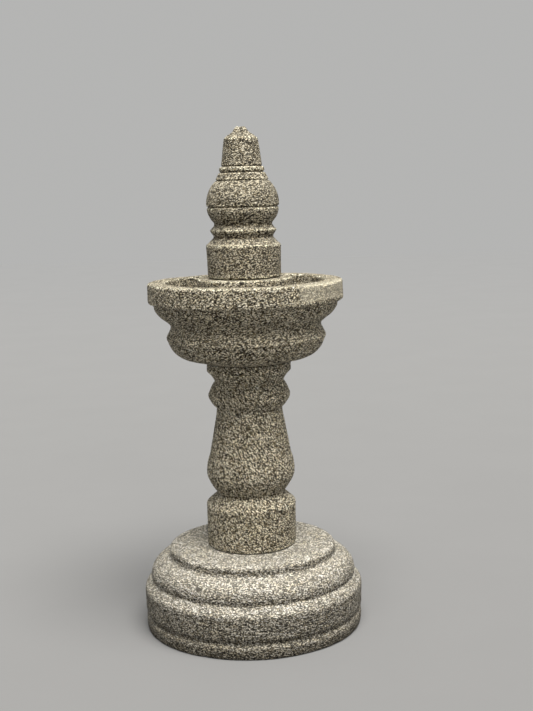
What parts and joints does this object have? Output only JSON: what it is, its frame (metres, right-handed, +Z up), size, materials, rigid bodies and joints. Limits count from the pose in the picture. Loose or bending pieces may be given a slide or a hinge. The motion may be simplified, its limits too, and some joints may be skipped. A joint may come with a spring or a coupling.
{
  "type": "garden fountain",
  "caption": "Round tiered stone water fountain: stepped base, baluster column, bowl with a raised boss and a pointed finial the water wells out of, with pipework inside.",
  "frame": {"origin": "centre of the base's underside, where it stands on the ground", "axes": "+Z up along the stack's axis, +Y to the back, where the hose channel comes out, +X to the right seen from the front"},
  "size_m": [0.5324, 0.5323, 1.2],
  "materials": {
    "granite": "bush-hammered, speckled grey-brown",
    "granite_base": "bush-hammered, speckled, a little lighter and greyer",
    "stainless_dowel": "ground stainless bar",
    "stainless_pipe": "drawn stainless tube",
    "brass_fitting": "machined, slightly dulled",
    "screw_steel": "turned stainless",
    "plug_nylon": "moulded nylon",
    "seal_rubber": "matt black",
    "pad_rubber": "matt black sheet"
  },
  "bodies": {
    "base": {"base_plinth": "granite_base", "column_dowels": "stainless_dowel", "column_setting_pads": "pad_rubber", "lower_riser_pipe": "stainless_pipe", "floor_flange": "brass_fitting", "flange_screws": "screw_steel", "masonry_plugs": "plug_nylon", "inlet_elbow": "brass_fitting", "hose_tail": "brass_fitting"},
    "column": {"pedestal_column": "granite", "basin_dowels": "stainless_dowel", "basin_setting_pads": "pad_rubber"},
    "bowl": {"basin": "granite", "finial_dowels": "stainless_dowel", "finial_setting_pads": "pad_rubber", "tank_connector": "brass_fitting", "connector_seal": "seal_rubber", "pipe_o_ring": "seal_rubber", "connector_locknut": "brass_fitting", "upper_riser_pipe": "stainless_pipe", "jet_nozzle": "brass_fitting"},
    "finial": {"finial": "granite"}
  },
  "joints": [
    {"name": "column_lift_off", "type": "slide", "parent": "base", "child": "column", "axis": [0, 0, 1], "range_m": [0, 0.5]},
    {"name": "bowl_lift_off", "type": "slide", "parent": "column", "child": "bowl", "axis": [0, 0, 1], "range_m": [0, 0.1]},
    {"name": "finial_lift_off", "type": "slide", "parent": "bowl", "child": "finial", "axis": [0, 0, 1], "range_m": [0, 0.36]}
  ]
}
